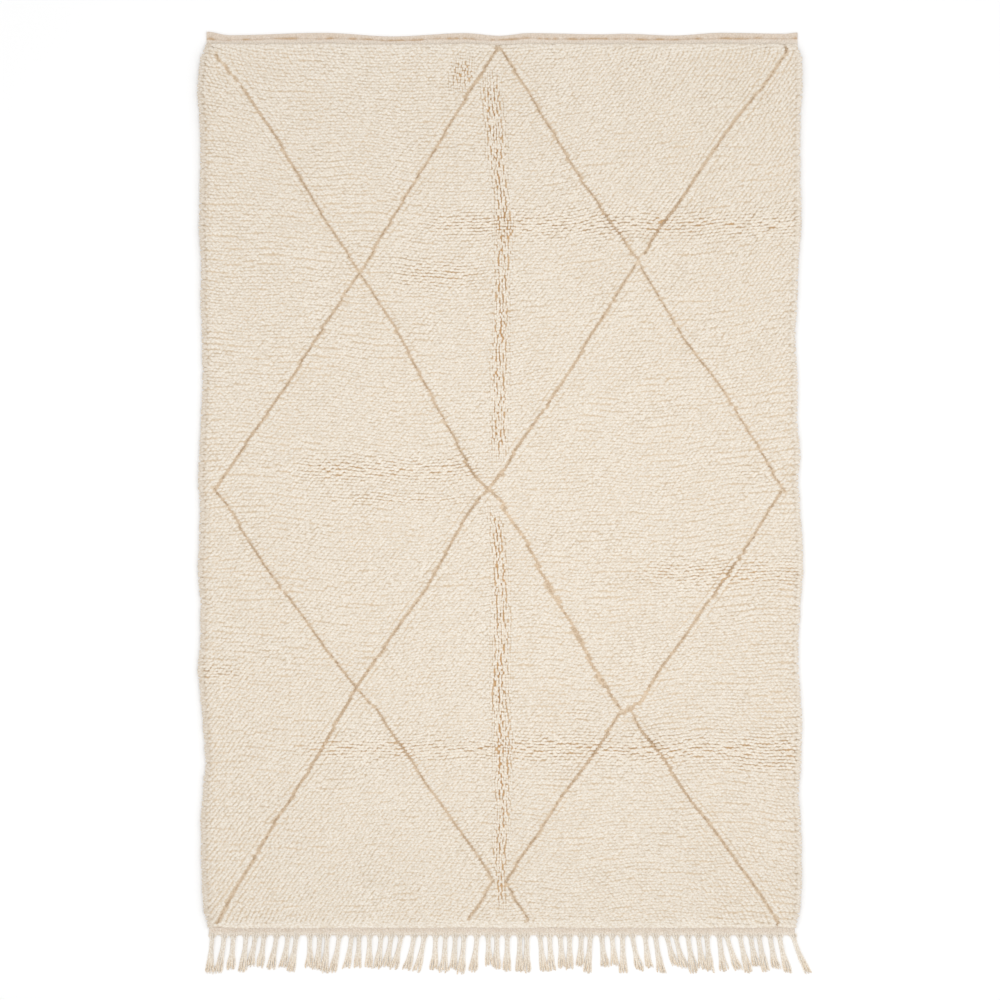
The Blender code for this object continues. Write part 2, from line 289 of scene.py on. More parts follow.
QUIET_PITCH = 0.055  # of the dashes between the rows, where the pile is calm
DASH_PITCH = 0.013  # in a crease
LANE_PITCH = 0.016  # in a fold
QUIET_SOFTNESS = 0.30  # of the change from a closed gap to an open one
DASH_SOFTNESS = 0.75
LANE_SOFTNESS = 0.45
PARTED_DEEPER = 4.0 * MM  # how much deeper one sees between the tufts there
CREASE_FADE = 0.130  # from the end of a crease to where it is fully open
FOLD_FADE = 0.070
PATCH_SPACING = 0.16
PATCH_STRETCH = 2.1
QUIET_SHARE = 0.50  # of the rows' length that is parted where the pile is calm
PATCH_SHARE = 0.22
CLUMP_SPACING = 0.10
CLUMP_SHARE = 0.45  # of a crease's share, by which it is more or less parted in clumps
CREASE_SPREADS = 0.7  # the power of its nearness that the lean in a crease goes by
QUIET_LEAN = 2.6 * MM

# The partings that run across the rug, in millimetres. share is how much of the rows'
# length is parted there, lean how far a tuft's tip is moved, and trough how far it sinks.
CREASES = as_table(
    "at first last half_width share lean trough",
    (593, -300, 100, 36, 0.60, 2.0, 3.0), (593, -60, 1080, 42, 0.80, 2.5, 4.5),
    (580, 380, 760, 24, 0.90, 2.9, 4.5), (755, -390, -20, 44, 0.50, 1.6, 1.0),
    (1403, -720, -20, 40, 0.82, 2.6, 3.0), (1415, 730, 910, 24, 0.75, 1.8, 1.0),
    (1498, -600, -40, 14, 0.65, 1.8, 1.0), (1745, 390, 1080, 42, 0.45, 1.6, 1.0),
    (2075, -1080, -800, 34, 0.75, 1.9, 1.0), (2206, 150, 350, 14, 0.85, 1.8, 0.0),
    (2322, -720, 100, 36, 0.65, 2.1, 3.0), (2322, -60, 1080, 44, 0.88, 2.9, 4.5),
    (2318, -70, 360, 28, 1.05, 3.6, 5.0), (2375, 640, 1080, 16, 0.85, 1.9, 1.0),
)

# The fold down the middle of the rug, in two lengths, in millimetres.
HEAD_FOLD = as_table(
    "down middle half_width",
    (75, -34, 20), (140, -28, 32), (328, -13, 36), (510, 4, 21), (593, 13, 34), (741, 8, 26),
    (1171, -3, 31), (1380, -4, 28),
)
FOOT_FOLD = as_table(
    "down middle half_width",
    (1515, -34, 12), (1601, -9, 21), (1833, 3, 30), (2163, -1, 32), (2312, 10, 34),
    (2494, 7, 23), (2659, 0, 24), (2741, 2, 12), (2870, 4, 11),
)
HEAD_FAN = as_table("down middle half_width", (20, -118, 42), (160, -128, 52))
FOLD_LANES = range(-40, 41, 10)  # millimetres from the middle, where it opens
FOLD_TROUGH = 3.5 * MM
FOLD_CLEAR = 5.9 * MM  # from an open lane to the middle of the nearest tufts
FAN_CLEAR = 5.0 * MM
LANE_REACH = 12 * MM
LANE_SHARE = 0.84
LANES_APART = 0.4  # of the pitch, by which the dashes of a lane lie below the last lane's
TILTS = (-0.05, 0.55)  # of the dashes, to the right for each length down
LANE_SWAY = 1.6 * MM
SWAY_LENGTH = 0.016
SWAY_TURN = 1.3  # of the sway, from one lane to the next
LANE_WANDER = 4 * MM
WANDER_LENGTH = 0.045
WANDER_TURN = 0.4
FULL_LEAN = 0.80  # of a cream tip's lean, reached where its tuft is fullest
ENDS_PART = 0.06  # how near to a fold a knot's two ends part
ENDS_STRAY = 0.8 * MM
FOLD_SLIMS = 0.14  # how much narrower a tuft is in a fold, and how much longer
FOLD_STRETCH = 0.35
CREASE_SLIMS = 0.06  # how much shorter a tuft is in a crease, and how much wider
CREASE_STRETCH = 0.12
CREASE_DEEP = 0.7  # of the depth that shows in a fold
CROSSING_SLIMS = 0.15
CROSSING_CALMS = 0.6  # of the rows' lean, taken off in a fold
CALM_HEAD = 0.40  # from the head to where the pile is as restless as elsewhere
QUIET_AT_HEAD = 0.5
QUIET_AT_MIDDLE = 0.5
FAN_PARTS = 0.6


def crease_near(crease, across, down):
    """How near spots lie to a parting that runs across the rug, from 0 to 1."""
    ends = np.minimum(across - crease.first * MM, crease.last * MM - across)
    near = np.exp(-(((down / MM - crease.at) / crease.half_width) ** 2))
    return near * np.clip(ends / CREASE_FADE, 0, 1)


def fold_inside(fold, down):
    ends = np.minimum(down - fold[0].down * MM, fold[-1].down * MM - down)
    return np.clip(ends / FOLD_FADE, 0, 1)


def fold_course(fold, down):
    """The middle of a fold and half its width, at distances down the rug."""
    return read_between(fold, "middle", down), read_between(fold, "half_width", down)


def fold_near(fold, across, down):
    """How near spots lie to the middle of a fold that runs down the rug, from 0 to 1."""
    middle, half_width = fold_course(fold, down)
    off = (across - middle) / (half_width + LANE_REACH)
    return fold_inside(fold, down) * np.clip(1 - off * off, 0, 1) ** 2


def sunk(across, down):
    """How far the pile sinks in its creases and folds."""
    depth = np.zeros(np.shape(across))
    for crease in CREASES:
        depth = np.maximum(depth, crease.trough * MM * crease_near(crease, across, down))
    for fold in (HEAD_FOLD, FOOT_FOLD):
        depth = np.maximum(depth, FOLD_TROUGH * fold_near(fold, across, down))
    return depth


def creased(across, down):
    """How near spots lie to any crease, from 0 to 1."""
    return np.max([crease_near(crease, across, down) for crease in CREASES], axis=0)


def parted(across, down):
    """How near spots lie to any crease or fold, from 0 to 1."""
    near = [fold_near(fold, across, down) for fold in (HEAD_FOLD, FOOT_FOLD, HEAD_FAN)]
    return np.maximum(np.max(near, axis=0), CREASE_DEEP * creased(across, down))


def patchy(across, down, spacing, seed):
    """A slow noise over the rug, from about -1 to 1."""
    places = zip(across / spacing, down / spacing)
    return np.array([noise.noise(Vector((a, d, seed))) for a, d in places]) * 2


def opened(chances, lane, along, pitch, share, softness):
    """How open each lane is at a place along it. It changes slowly from dash to gap."""
    step = along / pitch
    first = np.floor(step).astype(int)
    between = step - first
    chance = chances[lane, first] * (1 - between) + chances[lane, first + 1] * between
    return np.clip((chance - 1 + share) / softness, 0, 1)


def rows_apart(pitch, share, softness):
    """How far the rows are moved down the rug by the dashes that open between them."""
    steps = math.ceil(2 * HALF_WIDTH / pitch) + 2
    chances = draw.uniform(0, 1, (row.max() + 2, steps))
    above = opened(chances, row, across + HALF_WIDTH, pitch, share, softness)
    below = opened(chances, row + 1, across + HALF_WIDTH, pitch, share, softness)
    return above - below


def row_partings():
    """How far the rows lean down the rug, to both sides of the gaps between them."""
    quiet = QUIET_SHARE + PATCH_SHARE * patchy(across / PATCH_STRETCH, down, PATCH_SPACING, seed=0)
    quiet = quiet * (QUIET_AT_HEAD + (1 - QUIET_AT_HEAD) * np.clip(down / CALM_HEAD, 0, 1))
    quiet = quiet * (QUIET_AT_MIDDLE + (1 - QUIET_AT_MIDDLE) * (across / HALF_WIDTH) ** 2)
    share, lean = np.zeros(len(row)), np.zeros(len(row))
    clumps = 1 + CLUMP_SHARE * patchy(across / PATCH_STRETCH, down, CLUMP_SPACING, seed=5)
    for crease in CREASES:
        near = crease_near(crease, across, down)
        share = np.maximum(share, crease.share * near * clumps)
        lean = np.maximum(lean, crease.lean * MM * near ** CREASE_SPREADS)
    calm = QUIET_LEAN * rows_apart(QUIET_PITCH, quiet, QUIET_SOFTNESS)
    dashes = lean * rows_apart(DASH_PITCH, share, DASH_SOFTNESS)
    return (1 - CROSSING_CALMS * folded) * np.where(share > quiet / 2, dashes, calm)


def fold_partings(fold, clear):
    """How far the tufts lean aside, to be clear of the open lanes of a fold."""
    middle, half_width = fold_course(fold, down)
    steps = math.ceil(PILE_LENGTH / LANE_PITCH) + 2 + len(FOLD_LANES)
    chances = draw.uniform(0, 1, (len(FOLD_LANES), steps))
    tilts = draw.uniform(*TILTS, (len(FOLD_LANES), steps))
    aside = np.zeros(len(row))
    for lane, place in enumerate(FOLD_LANES):
        sway = LANE_SWAY * np.sin(down / SWAY_LENGTH + SWAY_TURN * lane)
        sway = sway + LANE_WANDER * np.sin(down / WANDER_LENGTH + WANDER_TURN * lane)
        along = down + LANES_APART * lane * LANE_PITCH
        dash = np.round(along / LANE_PITCH).astype(int)
        tilted = tilts[lane, dash] * (along - dash * LANE_PITCH)
        off = across - middle - place * MM - sway - tilted
        far = abs(place) * MM / (half_width + LANE_REACH)
        share = LANE_SHARE * np.clip(2 * (1 - far), 0, 1)
        push = np.clip(clear - np.abs(off), 0, None) / FULL_LEAN
        open_share = opened(chances, lane, along, LANE_PITCH, share, LANE_SOFTNESS)
        aside = aside + open_share * np.sign(off) * push
    return fold_inside(fold, down) * aside


# In a fold the two ends of each knot part, and stand as two slimmer tufts.
folded = np.maximum(fold_near(HEAD_FOLD, across, down), fold_near(FOOT_FOLD, across, down))
folded = np.maximum(folded, FAN_PARTS * fold_near(HEAD_FAN, across, down))
ends = np.where(folded > ENDS_PART, 2, 1)
second = np.arange(ends.sum()) - np.repeat(np.cumsum(ends) - ends, ends)
row, row_turn, folded = (np.repeat(v, ends) for v in (row, row_turn, folded))
across, down = np.repeat(across, ends), np.repeat(down, ends)
ends = np.repeat(ends, ends)
across += np.where(ends == 2, (second - 0.5) * KNOT_PITCH / 2, 0)
down += np.where(ends == 2, draw.normal(0, ENDS_STRAY, len(row)), 0)

lean_down = row_partings()
lean_aside = fold_partings(HEAD_FOLD, FOLD_CLEAR) + fold_partings(FOOT_FOLD, FOLD_CLEAR)
lean_aside = lean_aside + fold_partings(HEAD_FAN, FAN_CLEAR)


# Lozenge lines
# -------------
# A lattice of lozenges, drawn in brown knots among the cream ones. Most lines are one knot
# wide and half hidden by the cream tufts beside them, and wander, as they were tied by eye.

LINE_SWAY = 1.2 * MM
LINE_WAVES = ((0.6, 31 * MM), (0.4, 12.7 * MM))  # the share and length of each wave of it
LINE_TURN = 1.7  # of those waves, from one line to the next
LINE_SUNK = 0.6 * MM
LINE_STRETCH = 1.35  # along the line, so that its knots meet
LINE_MISSES = 0.003  # a line narrower than this has no brown knots
LINE_PULL = 0.85  # of the way to the line, made up by a brown tuft's lean
BAND_FROM = 0.0125  # a line wider than this is a band, one or two knots wide
BESIDE_LINE = 11 * MM  # from a line to the cream tufts that stand along it
GATHERED = 0.6  # of their distance from that place, made up by their tips
GATHER_FROM = 16 * MM
GATHER_TO = 26 * MM
BAND_KNOT = 0.011  # the width of each knot of a band
BAND_PULL = 0.5
PALER_FROM = 0.009
PALER_OVER = 0.004

# Where the lines cross, turn or change, and how wide they show there, in millimetres.
LINES = [
    as_table("across down width", *spots)
    for spots in (
        # from the left of the head to the right of the foot
        [
            (-948, 34, 4), (-929, 50, 6), (-915, 64, 9), (-898, 87, 6), (-879, 104, 6),
            (-861, 124, 1), (-840, 152, 9), (-794, 229, 7), (-742, 307, 8), (-615, 520, 6),
            (-467, 750, 7), (-357, 918, 8), (-267, 1090, 8), (-127, 1341, 6), (-112, 1366, 5),
            (-97, 1395, 8), (-74, 1430, 8), (-49, 1452, 8), (-20, 1484, 9), (5, 1510, 17),
            (25, 1548, 16), (56, 1595, 12), (108, 1679, 13), (147, 1766, 15), (219, 1878, 17),
            (282, 1990, 18), (328, 2081, 15), (397, 2183, 8),
        ],
        [(438, 2206, 5), (467, 2262, 7), (538, 2348, 9), (641, 2500, 9), (932, 2898, 7)],
        # from the middle of the head to both sides
        [(-13, 14, 7), (-467, 750, 7), (-585, 920, 7), (-693, 1090, 7), (-943, 1466, 8)],
        [(2, 12, 7), (188, 306, 7), (274, 450, 7), (376, 598, 7), (437, 686, 8)],
        [(437, 686, 8), (460, 702, 9), (481, 686, 8), (531, 598, 8)],
        [
            (470, 730, 4), (523, 811, 7), (618, 960, 7), (725, 1110, 8), (787, 1198, 7),
            (885, 1374, 7), (946, 1465, 8),
        ],
        # from the right of the head to the left of the foot
        [(531, 598, 8), (573, 545, 9), (742, 300, 7), (957, 10, 6)],
        [
            (447, 730, 4), (380, 839, 8), (211, 1110, 8), (72, 1307, 9), (47, 1339, 9),
            (28, 1375, 7), (15, 1399, 9), (5, 1412, 20), (-27, 1447, 18), (-48, 1472, 8),
            (-63, 1485, 7), (-110, 1551, 8), (-137, 1597, 8), (-243, 1790, 8), (-296, 1860, 8),
            (-477, 2117, 10), (-710, 2500, 9), (-830, 2696, 8), (-892, 2796, 8),
            (-962, 2896, 7),
        ],
        # from both sides to the middle of the foot
        [
            (-943, 1466, 8), (-724, 1794, 7), (-607, 1954, 8), (-477, 2117, 10),
            (-411, 2195, 9), (-244, 2440, 8), (-132, 2591, 8), (-52, 2710, 7), (-22, 2752, 6),
        ],
        [(32, 2784, 5), (55, 2826, 7), (92, 2882, 5)],
        [
            (938, 1465, 8), (728, 1783, 8), (590, 1985, 8), (512, 2087, 9), (468, 2160, 14),
            (424, 2193, 18), (392, 2203, 7), (370, 2236, 8), (311, 2340, 9), (201, 2480, 9),
            (44, 2717, 8), (19, 2756, 7),
        ],
        [(-24, 2758, 7), (-67, 2829, 7), (-109, 2880, 8)],
    )
]


def beside_line(line, phase):
    """For each knot, how far it lies from a line and which way, across and down, and the
    line's width and direction there."""
    least = np.full(len(row), math.inf)
    found = np.zeros((4, len(row)))
    passed = 0
    for start, end in zip(line, line[1:]):
        step_x, step_y = (end.across - start.across) * MM, (end.down - start.down) * MM
        length = math.hypot(step_x, step_y)
        step_x, step_y = step_x / length, step_y / length
        far_x, far_y = across - start.across * MM, down - start.down * MM
        here = np.clip(far_x * step_x + far_y * step_y, 0, length)
        along = passed + here
        sway = np.zeros(len(row))
        for turns, (share, wave) in enumerate(LINE_WAVES, 1):
            sway += share * np.sin(along / wave + turns * phase)
        off_x = far_x - here * step_x + LINE_SWAY * sway * step_y
        off_y = far_y - here * step_y - LINE_SWAY * sway * step_x
        apart = np.hypot(off_x, off_y)
        width = (start.width + (end.width - start.width) * here / length) * MM
        heading = np.full(len(row), math.atan2(step_x, step_y))
        found = np.where(apart < least, [off_x, off_y, width, heading], found)
        least = np.minimum(apart, least)
        passed += length
    return least, *found


def nearest_in_rows(apart):
    """The one knot of each row that lies nearest to a line, where the line crosses the row."""
    near = np.flatnonzero(apart < KNOT_PITCH)
    near = near[np.argsort(apart[near])]
    return near[np.unique(row[near], return_index=True)[1]]


brown = np.zeros(len(row), bool)
line_width = np.zeros(len(row))
turned = np.zeros(len(row))
line_lean = np.zeros((2, len(row)))
least = np.full(len(row), math.inf)
for number, line in enumerate(LINES):
    apart, gap_x, gap_y, width, heading = beside_line(line, LINE_TURN * number)
    outwards = np.stack([gap_x, gap_y]) / np.maximum(apart, MM)
    banded = (width > BAND_FROM) & (apart < width / 2)
    tied = np.union1d(nearest_in_rows(apart), np.flatnonzero(banded))
    tied = tied[(width[tied] > LINE_MISSES) & (apart[tied] < least[tied])]
    brown[tied] = True
    line_width[tied] = width[tied]
    turned[tied] = heading[tied]
    pull = np.where(width[tied] < BAND_FROM, LINE_PULL, BAND_PULL) * apart[tied]
    line_lean[:, tied] = -pull * outwards[:, tied]
    least[tied] = apart[tied]
    aside = GATHERED * (BESIDE_LINE - np.minimum(apart, GATHER_FROM))
    aside = aside * np.clip((GATHER_TO - apart) / (GATHER_TO - GATHER_FROM), 0, 1)
    gathered = (width > LINE_MISSES) & (width < BAND_FROM) & ~brown & (apart < least)
    aside = np.where(gathered, aside, 0)
    line_lean = np.where(aside == 0, line_lean, aside * outwards)
    least = np.where(aside == 0, least, apart)
line_lean = np.where(brown, line_lean, line_lean / FULL_LEAN)
lean_aside = lean_aside + line_lean[0]
lean_down = lean_down + line_lean[1]
paler = np.clip((line_width - PALER_FROM) / PALER_OVER, 0, 1)


# Tufts
# -----
# Each tuft is a soft spindle of wool, narrow where it leaves its knot and fuller near its
# round top. The tufts stand 22 mm high, lean a little towards the foot and the right, and
# roll over the sides. Below their tops the wool is packed into one mass, darker and warmer:
# mostly painted shade, partly the wool's own warmer colour.

PILE_HEIGHT = 0.022
RIM_HEIGHT = 0.012
ROLL = 0.035
SLAB_HALF = 0.992
LUMP_HEIGHT = 0.0055
LUMP_SPACING = 0.130
HEIGHT_VARIES = 0.4 * MM
ROOT_HEIGHT = GROUND_THICK - 0.4 * MM
NAP = 2.6 * MM
NAP_ACROSS = 1.0 * MM
NAP_VARIES = 1.8 * MM
NAP_PATCH = 0.24
TIP_STRAYS = 0.6 * MM
LEFT_LEAN = 3 * MM  # outwards, over the side of the rug
RIGHT_LEAN = 2 * MM
HEAD_FOLLOWS = 0.4  # of the heading's waves, followed by the tufts beside it
HEAD_NARROWEST = 0.034
FOOT_LEAN = 5 * MM  # back towards the head, where the tufts meet the foot strip
TUFT_SIDES = 6
CROWN_SIDES = 3
TUFT_POINTS = 1 + TUFT_SIDES + CROWN_SIDES
CROWN = 0.42  # of a tuft's fullest width, left at its top
FULLEST = 0.78  # of a tuft's height, where it is fullest
TUFT_HALF_LONG = 10.4 * MM
TUFT_HALF_SHORT = 5.8 * MM
TUFT_VARIES = 0.10
SLANT = 0.22  # of the tufts, up to the right
CORNER_SLANT = 0.55  # added at the head's right and the foot's left, taken off at the others
TUFT_TURNS = 0.10
RIM_FULLER = 0.25
CREAM_TONES = (0.76, 0.93)
PARTED_HIGHLIGHT = 0.25  # painted highlight on the tips where the pile is parted, as they catch more light there
BROWN_TONES = (0.1, 0.75)
BAND_PALER = 0.2
# Painted shade on the tufts beside the heading, fading out over HEAD_SHADED, and on those that
# roll over the sides, most on the left.
HEAD_PAINTED_SHADE = 0.15
LEFT_PAINTED_SHADE = 0.60
RIGHT_PAINTED_SHADE = 0.20
HEAD_SHADED = 14 * MM
ROUNDNESS = 0.8  # how far the sides of a tuft turn outwards in the light
CROWN_ROUNDNESS = 0.35
# Painted shade on each tuft: its sides and root darker and warmer than its top.
SHOULDER_SHADE = 0.25
ROOT_SHADE = 0.6
CREAM_PIECES = 5
PAINT_MARGIN = 0.02
PAINT_SPAN = 1 - 2 * PAINT_MARGIN
PAINT_STEP = 0.004
MASS_BELOW = 4.8 * MM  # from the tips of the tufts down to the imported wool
# Painted shade on the packed wool, more where the pile is parted.
MASS_SHADE = 0.42
MASS_PARTED_SHADE = 0.42  # where the pile is parted
MASS_HALF = 0.990
MASS_COLUMNS = 118
MASS_ROWS = 176

# How far the heading's outer edge lies from the pile, in millimetres, across the rug.
HEADING = as_table(
    "across reach",
    (-969, 46), (-894, 34), (-586, 42), (-351, 30), (-116, 41), (0, 32), (96, 41), (344, 37),
    (406, 39), (575, 33), (730, 42), (939, 39), (983, 43),
)


def inside(across, down):
    """How far spots lie inside the outline of the pile."""
    return np.minimum(SLAB_HALF - np.abs(across), np.minimum(down, PILE_LENGTH - down))


def pile_top(across, down):
    """The height of the tips of the tufts, rolled off at the sides and a little lumpy."""
    left = 1 - np.clip(inside(across, down) / ROLL, 0, 1)
    top = RIM_HEIGHT + (PILE_HEIGHT - RIM_HEIGHT) * np.sqrt(1 - left * left)
    lumps = LUMP_HEIGHT / 2 * patchy(across, down, LUMP_SPACING, seed=0) * (1 - left)
    return top + lumps - sunk(across, down)


def near_edge(distance):
    return np.clip(1 - distance / ROLL, 0, 1) ** 2


at_rim = near_edge(inside(across, down))
beside = near_edge(KNOTTED_HALF - np.abs(across))
top = pile_top(across, down) + draw.normal(0, HEIGHT_VARIES, len(row))
top = top - np.where(brown, LINE_SUNK, 0)
reach = read_between(HEADING, "reach", across)
head_lean = HEAD_FOLLOWS * np.maximum(reach - HEAD_NARROWEST, 0)
lean_x = lean_aside + NAP_ACROSS + NAP_VARIES * patchy(across, down, NAP_PATCH, seed=3)
lean_x += np.where(across < 0, -LEFT_LEAN, RIGHT_LEAN) * beside
lean_x += draw.normal(0, TIP_STRAYS, len(row))
lean_y = -lean_down - NAP + NAP_VARIES * patchy(across, down, NAP_PATCH, seed=7)
lean_y += head_lean * near_edge(down) + FOOT_LEAN * near_edge(PILE_LENGTH - down)
lean_y += draw.normal(0, TIP_STRAYS, len(row))
root = np.stack([rug_x(across, down), HEAD_Y - down, np.full(len(row), ROOT_HEIGHT)], axis=1)
lean = np.stack([lean_x, lean_y, top - ROOT_HEIGHT], axis=1)
slim = 1 + draw.uniform(-TUFT_VARIES, TUFT_VARIES, (2, len(row)))
in_crease = creased(across, down)
wider = (1 - FOLD_SLIMS * folded) / ends * (1 + CREASE_STRETCH * in_crease * (1 - folded))
longer = 1 + FOLD_STRETCH * folded * (1 - in_crease) - CREASE_SLIMS * in_crease
longer = longer - CROSSING_SLIMS * folded * in_crease
knot_width = np.where(line_width > BAND_FROM, BAND_KNOT, line_width)
slim[0] *= np.where(brown, knot_width / 2 / TUFT_HALF_LONG, wider)
slim[1] *= np.where(brown, LINE_STRETCH, longer)
slim *= 1 + RIM_FULLER * at_rim
deeper = parted(across, down)
slant = SLANT - CORNER_SLANT * across / HALF_WIDTH * (2 * down / PILE_LENGTH - 1)
slant = slant * (1 - deeper) * (1 - at_rim) * (ends == 1)
slant = slant + row_turn * (folded == 0)
turned = np.where(brown, turned, slant) + draw.normal(0, TUFT_TURNS, len(row))
# A cream tuft's own tone at random, with a painted highlight where the pile is parted and painted
# shade by the head and over the sides.
cream_tone_and_shading = draw.uniform(*CREAM_TONES, len(row)) + PARTED_HIGHLIGHT * deeper
cream_tone_and_shading -= HEAD_PAINTED_SHADE * np.clip(1 - down / HEAD_SHADED, 0, 1)
cream_tone_and_shading -= np.where(across < 0, LEFT_PAINTED_SHADE, RIGHT_PAINTED_SHADE) * beside
brown_tone = draw.uniform(*BROWN_TONES, len(row)) + BAND_PALER * paler
tone_and_shading = np.clip(np.where(brown, brown_tone, cream_tone_and_shading), 0, 1)


def corner_way(corner, chosen):
    """The way from a tuft's middle to a corner of its fullest part, turned with the tuft."""
    angle = math.pi / TUFT_SIDES * (1 + 2 * corner)
    way_x = slim[0, chosen] * TUFT_HALF_LONG * math.cos(angle)
    way_y = slim[1, chosen] * TUFT_HALF_SHORT * math.sin(angle)
    sine, cosine = np.sin(turned[chosen]), np.cos(turned[chosen])
    return np.stack([way_x * cosine - way_y * sine, way_x * sine + way_y * cosine], axis=1)


def tuft_points(chosen):
    """Ten points for each tuft: its root, the corners of its fullest part and its top."""
    points = np.zeros((len(chosen), TUFT_POINTS, 3))
    points[:, 0] = root[chosen]
    shares = np.full((len(chosen), 3), (FULL_LEAN, FULL_LEAN, FULLEST))
    shares[brown[chosen], :2] = 1
    full = root[chosen] + lean[chosen] * shares
    for corner in range(TUFT_SIDES):
        points[:, 1 + corner] = full
        points[:, 1 + corner, :2] += corner_way(corner, chosen)
    for corner in range(CROWN_SIDES):
        points[:, 1 + TUFT_SIDES + corner] = root[chosen] + lean[chosen]
        points[:, 1 + TUFT_SIDES + corner, :2] += CROWN * corner_way(2 * corner, chosen)
    return points


def tuft_faces():
    """The corners of a tuft's triangles, each read from outside against the clock."""
    faces = []
    for corner in range(TUFT_SIDES):
        faces.append((0, 1 + (corner + 1) % TUFT_SIDES, 1 + corner))
    for corner in range(CROWN_SIDES):
        first, second, third = (1 + (2 * corner + n) % TUFT_SIDES for n in range(3))
        this = 1 + TUFT_SIDES + corner
        after = 1 + TUFT_SIDES + (corner + 1) % CROWN_SIDES
        faces += [(this, first, second), (this, second, after), (after, second, third)]
    faces.append(tuple(1 + TUFT_SIDES + corner for corner in range(CROWN_SIDES)))
    return np.array(faces)


def add_faces(mesh, points, corners):
    """Fills a mesh from an array of points and one of the corners of each face."""
    sides = corners.shape[1]
    mesh.vertices.add(len(points))
    mesh.vertices.foreach_set("co", points.ravel())
    mesh.loops.add(corners.size)
    mesh.loops.foreach_set("vertex_index", corners.ravel())
    mesh.polygons.add(len(corners))
    mesh.polygons.foreach_set("loop_start", np.arange(0, corners.size, sides))
    mesh.polygons.foreach_set("use_smooth", np.ones(len(corners), bool))
    mesh.update(calc_edges=True)


def add_shades(mesh, depth, tones):
    """Writes for the material each point's depth in the wool, which sets its painted shade,
    and its yarn's own tone, with painted shade and highlight added on some tufts.
    """
    shades = mesh.color_attributes.new("wool", "FLOAT_COLOR", "POINT")
    colours = np.ones((len(depth), 4))
    colours[:, 0] = depth
    colours[:, 1] = tones
    shades.data.foreach_set("color", colours.ravel())


def unit(ways):
    return ways / np.linalg.norm(ways, axis=-1, keepdims=True)


def round_tops(mesh, chosen):
    """Turns the light on each tuft as on a soft round top."""
    facing = np.zeros((len(chosen), TUFT_POINTS, 3))
    facing[:, 0, 2] = -1
    facing[:, 1:, 2] = 1
    upward = unit(lean[chosen])
    for corner in range(TUFT_SIDES):
        way = unit(corner_way(corner, chosen))
        facing[:, 1 + corner, :2] = ROUNDNESS * way
        if corner % 2 == 0:
            crown = 1 + TUFT_SIDES + corner // 2
            facing[:, crown, :2] = CROWN_ROUNDNESS * way + upward[:, :2]
    mesh.normals_split_custom_set_from_vertices(unit(facing).reshape(-1, 3))


def spread_paint(mesh, spread, faces):
    """Writes the map for painted copies, from the place on it of each point."""
    paint = mesh.uv_layers.new(name="OFBake")
    paint.data.foreach_set("uv", spread.reshape(-1, 2)[faces.ravel()].ravel())


def tuft_mesh(name, chosen):
    """One mesh of many tufts. Its map has a place for each tone and depth."""
    count = len(chosen)
    mesh = bpy.data.meshes.new(name)
    faces = (TUFT_POINTS * np.arange(count)[:, None, None] + tuft_faces()).reshape(-1, 3)
    add_faces(mesh, tuft_points(chosen).reshape(-1, 3), faces)
    round_tops(mesh, chosen)
    # Painted shade by depth, more where the pile is parted.
    depth = np.array([ROOT_SHADE, *[SHOULDER_SHADE] * TUFT_SIDES, *[0] * CROWN_SIDES])
    depth = np.clip(depth + np.outer(deeper[chosen], depth), 0, 1)
    add_shades(mesh, depth.ravel(), np.repeat(tone_and_shading[chosen], TUFT_POINTS))
    aside = PAINT_STEP * np.array([0, -1, 1, -1, 1, -1, 1, -1, 0, 1])
    lower = PAINT_STEP * np.array([0, 0, 0, 0, 0, 0, 0, 0, 2, 0])
    spread_u = PAINT_MARGIN + PAINT_SPAN * tone_and_shading[chosen, None] + aside
    spread_v = 1 - PAINT_MARGIN - PAINT_SPAN * depth - lower
    spread_paint(mesh, np.stack([spread_u, spread_v], axis=2), faces)
    return mesh


def close_up(bm):
    """Fills the open ends of a body and turns its faces outwards."""
    bmesh.ops.holes_fill(bm, edges=[edge for edge in bm.edges if edge.is_boundary], sides=0)
    bmesh.ops.recalc_face_normals(bm, faces=bm.faces)


def pack_wool():
    """The wool below the tops of the tufts, as one closed mass on the ground."""
    bm = bmesh.new()
    bmesh.ops.create_grid(bm, x_segments=MASS_COLUMNS, y_segments=MASS_ROWS, size=1)
    spots = np.array([vert.co for vert in bm.verts])
    far_across = spots[:, 0] * MASS_HALF
    far_down = (1 - spots[:, 1]) / 2 * PILE_LENGTH
    below = MASS_BELOW + PARTED_DEEPER * parted(far_across, far_down)
    heights = np.maximum(pile_top(far_across, far_down) - below, GROUND_THICK)
    for vert, x, y, z in zip(bm.verts, rug_x(far_across, far_down), HEAD_Y - far_down, heights):
        vert.co = (x, y, z)
    rim = [edge for edge in bm.edges if edge.is_boundary]
    walls = bmesh.ops.extrude_edge_only(bm, edges=rim)["geom"]
    for vert in walls:
        if isinstance(vert, bmesh.types.BMVert):
            vert.co.z = ROOT_HEIGHT
    close_up(bm)
    for face in bm.faces:
        face.smooth = True
    mesh = mesh_from(bm, "packed_wool")
    # Painted shade, deeper and warmer where the pile is parted.
    depth = np.full(len(mesh.vertices), MASS_SHADE)
    depth[: len(spots)] += MASS_PARTED_SHADE * parted(far_across, far_down)
    add_shades(mesh, depth, np.full(len(mesh.vertices), 0.5))
    return mesh


def multiply(tree, first, second):
    """One colour darkened by another."""
    mix = tree.nodes.new("ShaderNodeMix")
    mix.data_type = "RGBA"
    mix.blend_type = "MULTIPLY"
    mix.inputs["Factor"].default_value = 1
    tree.links.new(first, mix.inputs[6])
    tree.links.new(second, mix.inputs[7])
    return mix.outputs[2]


